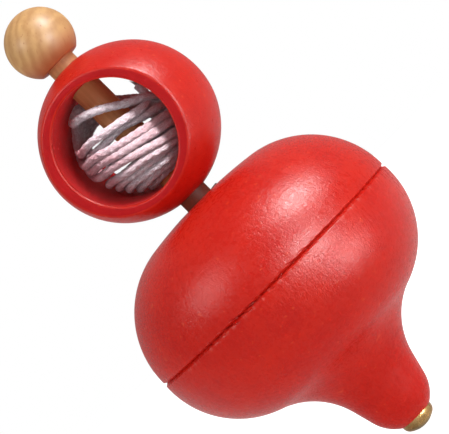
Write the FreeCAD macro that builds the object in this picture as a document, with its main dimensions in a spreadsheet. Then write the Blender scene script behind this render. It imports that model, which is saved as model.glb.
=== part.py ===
"""Pull-cord spinning top: a turned wooden body on a dowel spindle, and a hollow ball to hold it by.

The spindle turns freely in the ball.

Millimetres, +Z up along the spin axis, with the origin at the point that the top spins on. Every sub-part is
modelled round its own origin and set at its height by an expression, so the stack follows its sizes.
"""

import FreeCAD, Part
import math
import os
from types import SimpleNamespace

import Sketcher
from FreeCAD import Vector

OUT_FOLDER = "parts"
AXIS = Vector(0, 0, 1)
ORIGIN_POINT = (-1, 1)  # a sketch's own origin, as geometry and point
HORIZONTAL_AXIS, VERTICAL_AXIS = -1, -2
START, END, CENTRE = 1, 2, 3
TINY = 1e-6

SIZES = {
    # tip nail: a dome-headed brass nail under the foot
    "nail_head_diameter": 7.0,
    "nail_head_height": 2.5,
    "nail_rim_height": 0.3,
    "nail_shoulder_radius": 1.6,
    "nail_shank_diameter": 1.8,
    "nail_shank_length": 16.0,
    "nail_point_length": 2.5,
    # lower part of the body: foot, throat and underside of the belly
    "foot_lip": 0.1,
    "waist_diameter": 15.7,
    "waist_height": 8.65,
    "waist_length": 4.2,
    "waist_lean": 14.5,
    "body_diameter": 57.8,
    "lower_height": 37.1,
    "belly_arc": 17.9,
    "belly_drop": 1.5,
    # upper part of the body: shoulder and crown, a hair narrower than the lower part
    "upper_height": 19.64,
    "seam_step": 0.1,
    "shoulder_arc": 18.6,
    "crown_arc": 93.5,
    # glued seam between the two, with a V groove round it
    "seam_half_width": 0.42,
    "seam_depth": 0.6,
    # spindle: a dowel glued into the body and the knob
    "spindle_diameter": 6.0,
    "spindle_socket_depth": 14.6,
    "spindle_chamfer": 0.4,
    # handle ball: a wide hole crosses it, with walls left at its sides and poles,
    # and a flat land at each mouth
    "cross_bore_diameter": 24.0,
    "handle_side_wall": 5.5,
    "handle_pole_wall": 4.7,
    "handle_land": 2.36,
    "handle_arc_margin": 0.4,
    "handle_edge_radius": 0.4,
    "running_clearance": 0.1,
    "gap_below_handle": 1.56,
    "gap_above_handle": 1.5,
    # knob
    "knob_diameter": 13.5,
    "knob_land": 1.31,
    "knob_socket_depth": 7.5,
    "knob_edge_radius": 0.6,
    # cord: the outer shape of its winding on the spindle, and the cut end that stands up from it
    "cord_diameter": 1.5,
    "winding_clearance": 0.3,
    "winding_top_height": 7.0,
    "winding_top_tilt": 31.0,
    "cord_end_reach": 7.9,
    "cord_end_offset": -1.0,
    "cord_end_bottom": 1.0,
    "cord_end_length": 3.9,
}
size = SimpleNamespace(**SIZES)

doc = FreeCAD.newDocument("SpinningTop")
bodies = []


def make_sheet():
    """The driving dimensions, one row each: the name in column A, the value in column B under that alias."""
    sheet = doc.addObject("Spreadsheet::Sheet", "Dimensions")
    for row, (alias, value) in enumerate(SIZES.items(), start=1):
        sheet.set(f"A{row}", alias.replace("_", " "))
        sheet.set(f"B{row}", str(value))
        sheet.setAlias(f"B{row}", alias)
    doc.recompute()


def named(text):
    """An expression over the sheet: each word that is one of its aliases gets the sheet's name in front."""
    words = text.split(" ")
    return " ".join("Dimensions." + word if word in SIZES else word for word in words)


def new_body(label, height="0"):
    """A sub-part, standing at a height above the spinning point."""
    body = doc.addObject("PartDesign::Body", label)
    body.Label = label
    body.setExpression("Placement.Base.z", named(height))
    bodies.append(body)
    return body


def new_sketch(body, name, plane):
    """A sketch on one of the body's own origin planes."""
    sketch = body.newObject("Sketcher::SketchObject", name)
    support = next(f for f in body.Origin.OriginFeatures if f.Role == plane)
    sketch.AttachmentSupport = [(support, "")]
    sketch.MapMode = "FlatFace"
    return sketch


def bind(sketch, kind, where, text, value):
    """A driving constraint whose value follows the sheet."""
    index = sketch.addConstraint(Sketcher.Constraint(kind, *where, value))
    sketch.setExpression(f"Constraints[{index}]", named(text))


def add_line(sketch, start, end):
    return sketch.addGeometry(Part.LineSegment(Vector(*start, 0), Vector(*end, 0)), False)


def add_arc(sketch, centre, radius, first, last):
    """An arc, anticlockwise between two angles in radians."""
    circle = Part.Circle(Vector(*centre, 0), AXIS, radius)
    return sketch.addGeometry(Part.ArcOfCircle(circle, first, last), False)


def join(sketch, *ends):
    """Makes the outline's pieces meet.

    Each entry is (piece, its end, next piece, that one's start, smooth).
    """
    for piece, tail, following, head, smooth in ends:
        kind = "Tangent" if smooth else "Coincident"
        sketch.addConstraint(Sketcher.Constraint(kind, piece, tail, following, head))


def level(sketch, *lines):
    for line in lines:
        sketch.addConstraint(Sketcher.Constraint("Horizontal", line))


def upright(sketch, *lines):
    for line in lines:
        sketch.addConstraint(Sketcher.Constraint("Vertical", line))


def on_axis(sketch, piece, point):
    sketch.addConstraint(Sketcher.Constraint("PointOnObject", piece, point, VERTICAL_AXIS))


def turn(body, sketch, name):
    """Turns an outline round the spin axis, as on a lathe."""
    turned = body.newObject("PartDesign::Revolution", name)
    turned.Profile = sketch
    turned.ReferenceAxis = (sketch, ["V_Axis"])
    turned.Angle = 360
    doc.recompute()
    return turned


def cut(body, sketch, name):
    """Cuts a sketch right through the body, and checks that it took something away."""
    before = body.Shape.Volume
    pocket = body.newObject("PartDesign::Pocket", name)
    pocket.Profile = sketch
    pocket.Type = "ThroughAll"
    pocket.SideType = "Symmetric"
    doc.recompute()
    if not pocket.Shape.Volume < before:
        raise RuntimeError(f"{body.Label}: {name} cut nothing")
    return pocket


def edge_names(feature, accepts):
    """The names of the feature's edges that pass the test."""
    numbered = enumerate(feature.Shape.Edges, start=1)
    return [f"Edge{number}" for number, edge in numbered if accepts(edge)]


def round_edges(body, feature, names, name, text):
    """Rounds the named edges by a size from the sheet."""
    fillet = body.newObject("PartDesign::Fillet", name)
    fillet.Base = (feature, names)
    fillet.setExpression("Radius", named(text))
    doc.recompute()
    return fillet


BALL_RADIUS = "cross_bore_diameter / 2 + handle_side_wall"
BALL_POLE = "cross_bore_diameter / 2 + handle_pole_wall"
LAND_RADIUS = "cross_bore_diameter / 2 + handle_land"
FLAT_DISTANCE = f"sqrt( ( {BALL_RADIUS} ) ^ 2 - ( {LAND_RADIUS} ) ^ 2 )"

SEAM_HEIGHT = "nail_head_height + lower_height"
CROWN_HEIGHT = SEAM_HEIGHT + " + upper_height"
HANDLE_HEIGHT = CROWN_HEIGHT + " + gap_below_handle + " + BALL_POLE
KNOB_HEIGHT = HANDLE_HEIGHT + " + " + BALL_POLE + " + gap_above_handle"
DOWEL_LENGTH = (
    "spindle_socket_depth + upper_height + gap_below_handle + 2 * ( "
    + BALL_POLE
    + " ) + gap_above_handle + knob_socket_depth"
)


def make_tip_nail():
    """Domed head with a low rim, and a pointed shank driven up into the foot.

    Its origin is the dome's apex.
    """
    body = new_body("tip_nail")
    sketch = new_sketch(body, "NailOutline", "XZ_Plane")
    head, shank = size.nail_head_diameter / 2, size.nail_shank_diameter / 2
    shoulder, top = size.nail_shoulder_radius, size.nail_head_height
    rim = top - size.nail_rim_height
    tip = top + size.nail_shank_length
    inner = head - shoulder
    dome = (inner**2 + rim**2 - shoulder**2) / (2 * (rim - shoulder))
    lean = math.atan2(rim - dome, inner)

    crown = add_arc(sketch, (0, dome), dome, -math.pi / 2, lean)
    corner = add_arc(sketch, (inner, rim), shoulder, lean, 0)
    edge = add_line(sketch, (head, rim), (head, top))
    under = add_line(sketch, (head, top), (shank, top))
    side = add_line(sketch, (shank, top), (shank, tip - size.nail_point_length))
    point = add_line(sketch, (shank, tip - size.nail_point_length), (0, tip))
    core = add_line(sketch, (0, tip), (0, 0))
    join(
        sketch,
        (crown, END, corner, START, True),
        (corner, END, edge, START, True),
        (edge, END, under, START, False),
        (under, END, side, START, False),
        (side, END, point, START, False),
        (point, END, core, START, False),
        (core, END, crown, START, False),
    )
    sketch.addConstraint(Sketcher.Constraint("Coincident", crown, START, *ORIGIN_POINT))
    on_axis(sketch, crown, CENTRE)
    on_axis(sketch, core, START)
    level(sketch, under)
    upright(sketch, edge, side)
    bind(sketch, "Radius", (corner,), "nail_shoulder_radius", shoulder)
    bind(sketch, "DistanceX", (*ORIGIN_POINT, edge, END), "nail_head_diameter / 2", head)
    bind(sketch, "DistanceY", (edge, START, edge, END), "nail_rim_height", size.nail_rim_height)
    bind(sketch, "DistanceY", (*ORIGIN_POINT, edge, END), "nail_head_height", top)
    bind(sketch, "DistanceX", (*ORIGIN_POINT, side, START), "nail_shank_diameter / 2", shank)
    bind(sketch, "DistanceY", (side, START, core, START), "nail_shank_length", size.nail_shank_length)
    bind(sketch, "DistanceY", (side, END, core, START), "nail_point_length", size.nail_point_length)
    turn(body, sketch, "Nail")


def make_body_lower():
    """Flared foot, hollow throat and the belly's underside, with the nail's hole and the spindle's socket.

    Its origin is the middle of the seat that the nail's head lies on.
    """
    body = new_body("body_lower", "nail_head_height")
    sketch = new_sketch(body, "LowerOutline", "XZ_Plane")
    seat = size.nail_head_diameter / 2 + size.foot_lip
    shank, spindle = size.nail_shank_diameter / 2, size.spindle_diameter / 2
    seam, socket = size.lower_height, size.lower_height - size.spindle_socket_depth
    nail_tip = size.nail_shank_length

    # the waist is straight and leans outwards; the foot's arc meets its lower end
    # and the throat's arc its upper end
    lean = math.radians(size.waist_lean)
    outward = Vector(math.cos(lean), -math.sin(lean), 0)
    waist_top = Vector(size.waist_diameter / 2, size.waist_height, 0)
    waist_foot = waist_top - Vector(math.sin(lean), math.cos(lean), 0) * size.waist_length

    from_seat = waist_foot - Vector(seat, 0, 0)
    foot_arc = from_seat.Length**2 / (2 * from_seat.dot(outward))
    foot_centre = waist_foot - outward * foot_arc
    seat_angle = math.atan2(-foot_centre.y, seat - foot_centre.x)

    belly_arc = size.belly_arc
    belly_centre = Vector(size.body_diameter / 2 - belly_arc, seam - size.belly_drop, 0)
    from_belly = waist_top - belly_centre
    throat_arc = (from_belly.Length**2 - belly_arc**2) / (2 * (belly_arc - from_belly.dot(outward)))
    throat_centre = waist_top + outward * throat_arc
    to_belly = belly_centre - throat_centre
    meet = math.atan2(to_belly.y, to_belly.x)
    edge_height = seam - size.seam_half_width
    edge_angle = math.asin((edge_height - belly_centre.y) / belly_arc)
    edge_radius = belly_centre.x + belly_arc * math.cos(edge_angle)

    floor = add_line(sketch, (shank, 0), (seat, 0))
    foot = add_arc(sketch, (foot_centre.x, foot_centre.y), foot_arc, seat_angle, -lean)
    waist = add_line(sketch, (waist_foot.x, waist_foot.y), (waist_top.x, waist_top.y))
    throat = add_arc(sketch, (throat_centre.x, throat_centre.y), throat_arc, meet, math.pi - lean)
    belly = add_arc(sketch, (belly_centre.x, belly_centre.y), belly_arc, meet - math.pi, edge_angle)
    bevel = add_line(sketch, (edge_radius, edge_height), (edge_radius - size.seam_depth, seam))
    face = add_line(sketch, (edge_radius - size.seam_depth, seam), (spindle, seam))
    wall = add_line(sketch, (spindle, seam), (spindle, socket))
    bottom = add_line(sketch, (spindle, socket), (0, socket))
    core = add_line(sketch, (0, socket), (0, nail_tip))
    point = add_line(sketch, (0, nail_tip), (shank, nail_tip - size.nail_point_length))
    hole = add_line(sketch, (shank, nail_tip - size.nail_point_length), (shank, 0))
    join(
        sketch,
        (floor, END, foot, START, False),
        (foot, END, waist, START, True),
        (waist, END, throat, END, True),
        (throat, START, belly, START, True),
        (belly, END, bevel, START, False),
        (bevel, END, face, START, False),
        (face, END, wall, START, False),
        (wall, END, bottom, START, False),
        (bottom, END, core, START, False),
        (core, END, point, START, False),
        (point, END, hole, START, False),
        (hole, END, floor, START, False),
    )
    level(sketch, face, bottom)
    upright(sketch, wall, hole)
    on_axis(sketch, core, START)
    on_axis(sketch, core, END)
    sketch.addConstraint(Sketcher.Constraint("PointOnObject", floor, START, HORIZONTAL_AXIS))
    sketch.addConstraint(Sketcher.Constraint("PointOnObject", floor, END, HORIZONTAL_AXIS))
    bind(sketch, "DistanceX", (*ORIGIN_POINT, floor, START), "nail_shank_diameter / 2", shank)
    bind(sketch, "DistanceX", (*ORIGIN_POINT, floor, END), "nail_head_diameter / 2 + foot_lip", seat)
    bind(sketch, "DistanceX", (*ORIGIN_POINT, waist, END), "waist_diameter / 2", waist_top.x)
    bind(sketch, "DistanceY", (*ORIGIN_POINT, waist, END), "waist_height", waist_top.y)
    bind(sketch, "Distance", (waist,), "waist_length", size.waist_length)
    bind(sketch, "Angle", (waist,), "90 deg - waist_lean * 1 deg", math.pi / 2 - lean)
    bind(sketch, "Radius", (belly,), "belly_arc", belly_arc)
    bind(
        sketch, "DistanceX", (*ORIGIN_POINT, belly, CENTRE),
        "body_diameter / 2 - belly_arc", belly_centre.x,
    )
    bind(
        sketch, "DistanceY", (*ORIGIN_POINT, belly, CENTRE),
        "lower_height - belly_drop", belly_centre.y,
    )
    bind(sketch, "DistanceY", (*ORIGIN_POINT, face, END), "lower_height", seam)
    bind(sketch, "DistanceY", (bevel, START, bevel, END), "seam_half_width", size.seam_half_width)
    bind(sketch, "DistanceX", (bevel, END, bevel, START), "seam_depth", size.seam_depth)
    bind(sketch, "DistanceX", (*ORIGIN_POINT, wall, START), "spindle_diameter / 2", spindle)
    bind(sketch, "DistanceY", (wall, END, wall, START), "spindle_socket_depth", size.spindle_socket_depth)
    bind(sketch, "DistanceY", (*ORIGIN_POINT, core, END), "nail_shank_length", nail_tip)
    bind(sketch, "DistanceY", (hole, START, core, END), "nail_point_length", size.nail_point_length)
    turn(body, sketch, "Lower")


def make_body_upper():
    """Shoulder and low crown with the spindle's hole. Its origin is the middle of the glued seam."""
    body = new_body("body_upper", SEAM_HEIGHT)
    sketch = new_sketch(body, "UpperOutline", "XZ_Plane")
    spindle = size.spindle_diameter / 2
    shoulder_arc, crown_arc = size.shoulder_arc, size.crown_arc
    crown_drop = crown_arc - size.upper_height
    shoulder_offset = size.body_diameter / 2 - size.seam_step - shoulder_arc
    rise = math.sqrt((crown_arc - shoulder_arc) ** 2 - shoulder_offset**2)
    shoulder_centre = (shoulder_offset, rise - crown_drop)
    meet = math.atan2(rise, shoulder_offset)
    edge_height = size.seam_half_width
    edge_angle = math.asin((edge_height - shoulder_centre[1]) / shoulder_arc)
    edge_radius = shoulder_offset + shoulder_arc * math.cos(edge_angle)
    inner_angle = math.acos(spindle / crown_arc)
    inner_height = math.sqrt(crown_arc**2 - spindle**2) - crown_drop

    face = add_line(sketch, (spindle, 0), (edge_radius - size.seam_depth, 0))
    bevel = add_line(sketch, (edge_radius - size.seam_depth, 0), (edge_radius, edge_height))
    shoulder = add_arc(sketch, shoulder_centre, shoulder_arc, edge_angle, meet)
    crown = add_arc(sketch, (0, -crown_drop), crown_arc, meet, inner_angle)
    wall = add_line(sketch, (spindle, inner_height), (spindle, 0))
    join(
        sketch,
        (face, END, bevel, START, False),
        (bevel, END, shoulder, START, False),
        (shoulder, END, crown, START, True),
        (crown, END, wall, START, False),
        (wall, END, face, START, False),
    )
    upright(sketch, wall)
    on_axis(sketch, crown, CENTRE)
    sketch.addConstraint(Sketcher.Constraint("PointOnObject", face, START, HORIZONTAL_AXIS))
    sketch.addConstraint(Sketcher.Constraint("PointOnObject", face, END, HORIZONTAL_AXIS))
    bind(sketch, "DistanceX", (*ORIGIN_POINT, face, START), "spindle_diameter / 2", spindle)
    bind(sketch, "DistanceY", (bevel, START, bevel, END), "seam_half_width", size.seam_half_width)
    bind(sketch, "DistanceX", (bevel, START, bevel, END), "seam_depth", size.seam_depth)
    bind(sketch, "Radius", (shoulder,), "shoulder_arc", shoulder_arc)
    bind(
        sketch, "DistanceX", (*ORIGIN_POINT, shoulder, CENTRE),
        "body_diameter / 2 - seam_step - shoulder_arc", shoulder_offset,
    )
    bind(sketch, "Radius", (crown,), "crown_arc", crown_arc)
    bind(sketch, "DistanceY", (crown, CENTRE, *ORIGIN_POINT), "crown_arc - upper_height", crown_drop)
    turn(body, sketch, "Upper")


def make_spindle():
    """A plain dowel with chamfered ends. Its origin is the middle of its lower end."""
    body = new_body("spindle", SEAM_HEIGHT + " - spindle_socket_depth")
    sketch = new_sketch(body, "DowelSection", "XY_Plane")
    radius = size.spindle_diameter / 2
    section = sketch.addGeometry(Part.Circle(Vector(0, 0, 0), AXIS, radius), False)
    sketch.addConstraint(Sketcher.Constraint("Coincident", section, CENTRE, *ORIGIN_POINT))
    bind(sketch, "Radius", (section,), "spindle_diameter / 2", radius)
    dowel = body.newObject("PartDesign::Pad", "Dowel")
    dowel.Profile = sketch
    dowel.setExpression("Length", named(DOWEL_LENGTH))
    doc.recompute()
    ends = body.newObject("PartDesign::Chamfer", "DowelEnds")
    ends.Base = (dowel, edge_names(dowel, lambda edge: edge.Closed))
    ends.setExpression("Size", named("spindle_chamfer"))
    doc.recompute()


def make_knob():
    """A ball with a small flat where it faces the handle, and a blind socket. Its origin is on the flat."""
    body = new_body("knob", KNOB_HEIGHT)
    sketch = new_sketch(body, "KnobOutline", "XZ_Plane")
    radius, spindle = size.knob_diameter / 2, size.spindle_diameter / 2
    depth, flat_radius = size.knob_socket_depth, spindle + size.knob_land
    drop = math.sqrt(radius**2 - flat_radius**2)

    flat = add_line(sketch, (spindle, 0), (flat_radius, 0))
    ball = add_arc(sketch, (0, drop), radius, math.atan2(-drop, flat_radius), math.pi / 2)
    core = add_line(sketch, (0, drop + radius), (0, depth))
    bottom = add_line(sketch, (0, depth), (spindle, depth))
    wall = add_line(sketch, (spindle, depth), (spindle, 0))
    join(
        sketch,
        (flat, END, ball, START, False),
        (ball, END, core, START, False),
        (core, END, bottom, START, False),
        (bottom, END, wall, START, False),
        (wall, END, flat, START, False),
    )
    level(sketch, bottom)
    upright(sketch, wall)
    on_axis(sketch, core, START)
    on_axis(sketch, core, END)
    on_axis(sketch, ball, CENTRE)
    sketch.addConstraint(Sketcher.Constraint("PointOnObject", flat, START, HORIZONTAL_AXIS))
    sketch.addConstraint(Sketcher.Constraint("PointOnObject", flat, END, HORIZONTAL_AXIS))
    bind(sketch, "Radius", (ball,), "knob_diameter / 2", radius)
    bind(sketch, "DistanceX", (*ORIGIN_POINT, flat, END), "spindle_diameter / 2 + knob_land", flat_radius)
    bind(sketch, "DistanceX", (*ORIGIN_POINT, wall, START), "spindle_diameter / 2", spindle)
    bind(sketch, "DistanceY", (*ORIGIN_POINT, core, END), "knob_socket_depth", depth)
    turned = turn(body, sketch, "Ball")

    def is_rim(edge):
        box = edge.BoundBox
        return edge.Closed and abs(box.ZMin) < TINY and abs(edge.Curve.Radius - flat_radius) < TINY

    round_edges(body, turned, edge_names(turned, is_rim), "FlatEdge", "knob_edge_radius")


def centred_circle(sketch, text, radius):
    """A circle round the sketch's origin."""
    circle = sketch.addGeometry(Part.Circle(Vector(0, 0, 0), AXIS, radius), False)
    sketch.addConstraint(Sketcher.Constraint("Coincident", circle, CENTRE, *ORIGIN_POINT))
    bind(sketch, "Radius", (circle,), text, radius)


def outer_block(sketch, side, inner, ball):
    """A rectangle on one side of the sketch's vertical axis, from the flat face out past the ball."""
    near, far, half = side * inner, side * (inner + ball), 2 * ball
    corners = [(near, -half), (far, -half), (far, half), (near, half)]
    lines = [add_line(sketch, a, b) for a, b in zip(corners, corners[1:] + corners[:1])]
    for line, following in zip(lines, lines[1:] + lines[:1]):
        join(sketch, (line, END, following, START, False))
    level(sketch, lines[0], lines[2])
    upright(sketch, lines[1], lines[3])
    first, second = ORIGIN_POINT, (lines[0], START)
    reach = (*first, *second) if side > 0 else (*second, *first)
    bind(sketch, "DistanceX", reach, FLAT_DISTANCE, inner)
    wide = (lines[0], START, lines[0], END) if side > 0 else (lines[0], END, lines[0], START)
    bind(sketch, "DistanceX", wide, BALL_RADIUS, ball)
    bind(sketch, "DistanceY", (lines[0], START, *ORIGIN_POINT), "2 * ( " + BALL_RADIUS + " )", half)
    bind(sketch, "DistanceY", (*ORIGIN_POINT, lines[2], START), "2 * ( " + BALL_RADIUS + " )", half)


def ball_outline(body):
    """Half an oval of three tangent arcs: a side arc between two flatter ones.

    The flatter ones are centred on the axis.
    """
    sketch = new_sketch(body, "BallOutline", "XZ_Plane")
    bore = size.cross_bore_diameter / 2
    widest, pole = bore + size.handle_side_wall, bore + size.handle_pole_wall
    flattening = widest - pole
    offset = flattening + size.handle_arc_margin
    side_arc = widest - offset
    drop = flattening * (2 * offset - flattening) / (2 * size.handle_arc_margin)
    meet = math.atan2(drop, offset)

    south = add_arc(sketch, (0, drop), pole + drop, -math.pi / 2, -meet)
    side = add_arc(sketch, (offset, 0), side_arc, -meet, meet)
    north = add_arc(sketch, (0, -drop), pole + drop, meet, math.pi / 2)
    core = add_line(sketch, (0, pole), (0, -pole))
    join(
        sketch,
        (south, END, side, START, True),
        (side, END, north, START, True),
        (north, END, core, START, False),
        (core, END, south, START, False),
    )
    on_axis(sketch, south, CENTRE)
    on_axis(sketch, north, CENTRE)
    on_axis(sketch, core, START)
    on_axis(sketch, core, END)
    sketch.addConstraint(Sketcher.Constraint("PointOnObject", side, CENTRE, HORIZONTAL_AXIS))
    offset_text = "handle_side_wall - handle_pole_wall + handle_arc_margin"
    bind(sketch, "DistanceX", (*ORIGIN_POINT, side, CENTRE), offset_text, offset)
    bind(sketch, "Radius", (side,), f"{BALL_RADIUS} - ( {offset_text} )", side_arc)
    bind(sketch, "DistanceY", (*ORIGIN_POINT, core, START), BALL_POLE, pole)
    bind(sketch, "DistanceY", (core, END, *ORIGIN_POINT), BALL_POLE, pole)
    return sketch


def make_handle_ball():
    """A slightly flattened ball, faced flat front and back, with the cord's wide hole across it and the
    spindle's running hole down it. Its origin is its centre, and the wide hole runs along Y."""
    body = new_body("handle_ball", HANDLE_HEIGHT)
    turn(body, ball_outline(body), "Ball")

    sides = new_sketch(body, "FlatFaces", "YZ_Plane")
    bore = size.cross_bore_diameter / 2
    ball_radius = bore + size.handle_side_wall
    inner = math.sqrt(ball_radius**2 - (bore + size.handle_land) ** 2)
    for side in (1, -1):
        outer_block(sides, side, inner, ball_radius)
    doc.recompute()
    cut(body, sides, "FacedFlat")

    wide = new_sketch(body, "CrossBore", "XZ_Plane")
    centred_circle(wide, "cross_bore_diameter / 2", bore)
    doc.recompute()
    bored = cut(body, wide, "CordHollow")

    def is_mouth(edge):
        box = edge.BoundBox
        return edge.Closed and box.YLength < TINY and abs(box.XLength / 2 - bore) < TINY

    rounded = round_edges(body, bored, edge_names(bored, is_mouth), "SoftMouths", "handle_edge_radius")
    if not rounded.Shape.Volume < bored.Shape.Volume:
        raise RuntimeError("handle_ball: its edges were not rounded")

    narrow = new_sketch(body, "SpindleBore", "XY_Plane")
    centred_circle(
        narrow, "spindle_diameter / 2 + running_clearance", size.spindle_diameter / 2 + size.running_clearance
    )
    doc.recompute()
    cut(body, narrow, "SpindleHole")


def make_cord_coil():
    """The outer shape of the cord's loose winding.

    It is a ball that can turn in the handle's hollow, with a slanting top and the spindle's hole.
    Its origin is the handle's centre.
    """
    body = new_body("cord_coil", HANDLE_HEIGHT)
    ball = body.newObject("PartDesign::AdditiveSphere", "Winding")
    ball.setExpression("Radius", named("cross_bore_diameter / 2 - winding_clearance"))
    doc.recompute()

    top = new_sketch(body, "SlantingTop", "XZ_Plane")
    half = size.cross_bore_diameter
    tilt = math.radians(size.winding_top_tilt)
    left = size.winding_top_height + half * math.tan(tilt)
    right = size.winding_top_height - half * math.tan(tilt)
    ceiling = left + half
    corners = [(-half, left), (half, right), (half, ceiling), (-half, ceiling)]
    lines = [add_line(top, a, b) for a, b in zip(corners, corners[1:] + corners[:1])]
    for line, following in zip(lines, lines[1:] + lines[:1]):
        join(top, (line, END, following, START, False))
    slope = lines[0]
    upright(top, lines[1], lines[3])
    level(top, lines[2])
    bind(top, "Angle", (lines[2], slope), "180 deg - winding_top_tilt * 1 deg", math.pi - tilt)
    bind(top, "DistanceX", (slope, START, *ORIGIN_POINT), "cross_bore_diameter", half)
    bind(top, "DistanceX", (*ORIGIN_POINT, slope, END), "cross_bore_diameter", half)
    bind(
        top, "DistanceY", (*ORIGIN_POINT, slope, START),
        "winding_top_height + cross_bore_diameter * tan( winding_top_tilt * 1 deg )", left,
    )
    bind(top, "DistanceY", (slope, START, lines[2], END), "cross_bore_diameter", half)
    doc.recompute()
    cut(body, top, "TopCut")

    hole = new_sketch(body, "SpindleRoom", "XY_Plane")
    centred_circle(
        hole, "spindle_diameter / 2 + running_clearance", size.spindle_diameter / 2 + size.running_clearance
    )
    doc.recompute()
    cut(body, hole, "SpindleRoomCut")


def make_cord_end():
    """The cord's short cut end, which stands up from the winding on one side of the spindle."""
    body = new_body("cord_end", HANDLE_HEIGHT + " + cord_end_bottom")
    body.setExpression("Placement.Base.x", named("cord_end_reach"))
    body.setExpression("Placement.Base.y", named("cord_end_offset"))
    sketch = new_sketch(body, "CordSection", "XY_Plane")
    centred_circle(sketch, "cord_diameter / 2", size.cord_diameter / 2)
    stub = body.newObject("PartDesign::Pad", "CutEnd")
    stub.Profile = sketch
    stub.setExpression("Length", named("cord_end_length"))
    doc.recompute()


def check_document():
    """Stops at any object that failed to build, and at any sub-part that isn't one valid solid."""
    for item in doc.Objects:
        if "Invalid" in item.State or "Error" in item.State:
            raise RuntimeError(f"{item.Label} failed: {item.State}")
    for body in bodies:
        shape = body.Shape
        if shape.isNull() or not shape.isValid() or len(shape.Solids) != 1:
            raise RuntimeError(f"{body.Label} is not one valid solid")


def write_parts():
    os.makedirs(OUT_FOLDER, exist_ok=True)
    for body in bodies:
        body.Shape.exportStep(os.path.join(OUT_FOLDER, body.Label + ".step"))
        box = body.Shape.BoundBox
        print(
            f"{body.Label}: {box.XLength:.2f} x {box.YLength:.2f} x {box.ZLength:.2f} mm,"
            f" z {box.ZMin:.2f} to {box.ZMax:.2f}, {body.Shape.Volume:.1f} mm3"
        )


make_sheet()
make_tip_nail()
make_body_lower()
make_body_upper()
make_spindle()
make_knob()
make_handle_ball()
make_cord_coil()
make_cord_end()
doc.recompute()
check_document()
write_parts()
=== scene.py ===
# %% [markdown]
# # A pull-string spinning top
# A turned wooden top is held by a red ball with a wide hole through it. A cord is wound on the
# wooden spindle inside that hole. The CAD model gives every shape its true place, and this
# lesson gives each piece the skin that the real one has. All lengths here are in metres, and
# the small helper `mm` turns millimetres into metres where that reads better.

import math

import bmesh
import bpy
import numpy as np
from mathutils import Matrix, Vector


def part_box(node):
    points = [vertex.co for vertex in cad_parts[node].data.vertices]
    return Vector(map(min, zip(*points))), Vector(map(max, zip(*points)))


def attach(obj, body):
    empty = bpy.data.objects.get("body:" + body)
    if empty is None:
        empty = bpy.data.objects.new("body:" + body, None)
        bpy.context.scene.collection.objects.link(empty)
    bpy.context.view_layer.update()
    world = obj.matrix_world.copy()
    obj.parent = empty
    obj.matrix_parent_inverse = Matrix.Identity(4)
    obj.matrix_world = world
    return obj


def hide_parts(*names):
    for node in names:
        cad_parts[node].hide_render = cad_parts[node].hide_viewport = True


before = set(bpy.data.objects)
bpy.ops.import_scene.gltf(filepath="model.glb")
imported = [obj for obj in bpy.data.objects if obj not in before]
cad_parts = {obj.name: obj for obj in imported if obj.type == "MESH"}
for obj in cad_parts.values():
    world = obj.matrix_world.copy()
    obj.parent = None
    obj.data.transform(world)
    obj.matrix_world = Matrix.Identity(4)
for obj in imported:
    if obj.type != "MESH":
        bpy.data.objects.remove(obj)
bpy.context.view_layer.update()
print("nodes:", sorted(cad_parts))


def mm(*values):
    """Millimetres as metres: one number, or several as a tuple."""
    scaled = tuple(value / 1000 for value in values)
    return scaled[0] if len(scaled) == 1 else scaled


# %% [markdown]
# ## The camera
# The top is seen from a little to the right of the bore's own axis, level with its middle, and
# the picture is turned so that the axis of the top runs from the upper left to the lower right.
# A long lens keeps the outline nearly free of perspective, as a catalogue picture has it.

# %% camera
VIEW_TURN = math.radians(20)
AIM_SIDE = mm(1.12)
AIM_HEIGHT = mm(53.7)
VIEW_DISTANCE = mm(428)
FRAME_WIDTH_IN_VIEW = mm(83.6)
SENSOR = 36.0
NEAREST, FARTHEST = 0.01, 20
# the cosine and sine of the tilt that lays the top's axis across the picture
AXIS_RIGHT = 0.7034
AXIS_UP = 0.7108

side = Vector((math.cos(VIEW_TURN), math.sin(VIEW_TURN), 0))
toward = Vector((math.sin(VIEW_TURN), -math.cos(VIEW_TURN), 0))
up = Vector((0, 0, 1))

camera_data = bpy.data.cameras.new("camera")
camera_data.sensor_width = SENSOR
camera_data.lens = VIEW_DISTANCE / FRAME_WIDTH_IN_VIEW * SENSOR
camera_data.clip_start = NEAREST
camera_data.clip_end = FARTHEST
camera = bpy.data.objects.new("camera", camera_data)
bpy.context.scene.collection.objects.link(camera)
picture_right = AXIS_RIGHT * side - AXIS_UP * up
picture_up = AXIS_UP * side + AXIS_RIGHT * up
for column, axis in enumerate((picture_right, picture_up, toward)):
    for row in range(3):
        camera.matrix_world[row][column] = axis.normalized()[row]
camera.matrix_world.translation = side * AIM_SIDE + up * AIM_HEIGHT + toward * VIEW_DISTANCE
bpy.context.scene.camera = camera
print("lens:", round(camera_data.lens, 1), "mm")


# %% [markdown]
# ## The cord's path
# The cord is limp braided cotton, 1.5 mm thick. It is wound loosely on the spindle in twelve
# turns: the front of each turn hangs lower on the right, and several turns climb over the back
# of the spindle near the top of the bore. Each row below is one turn, seen from the camera:
# where its front, left and right lie above the ball's centre, how far from the spindle it
# stands there, and how it goes round the back. A loop places thirty-two points on each turn, so
# that the line stays round, adds a slight sway, and then pushes apart the turns that would lie
# in each other. The winding is laid out in millimetres round the ball's centre.

# %% cord path
CORD_DIAMETER = mm(1.5)
POINTS_PER_KEY = 4
KEYS_PER_TURN = 8
WINDING_RADIUS = 10.9
CORE_RADIUS = 3.85
WINDING_HALF_HEIGHT = 10.15
# the sway of the turns up and down: how much, how often, and where it starts
SWAYS = [(0.22, 0.83, 1.0), (0.16, 1.37, 2.2)]
POINTS_BEFORE_SWAY = 12

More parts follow.
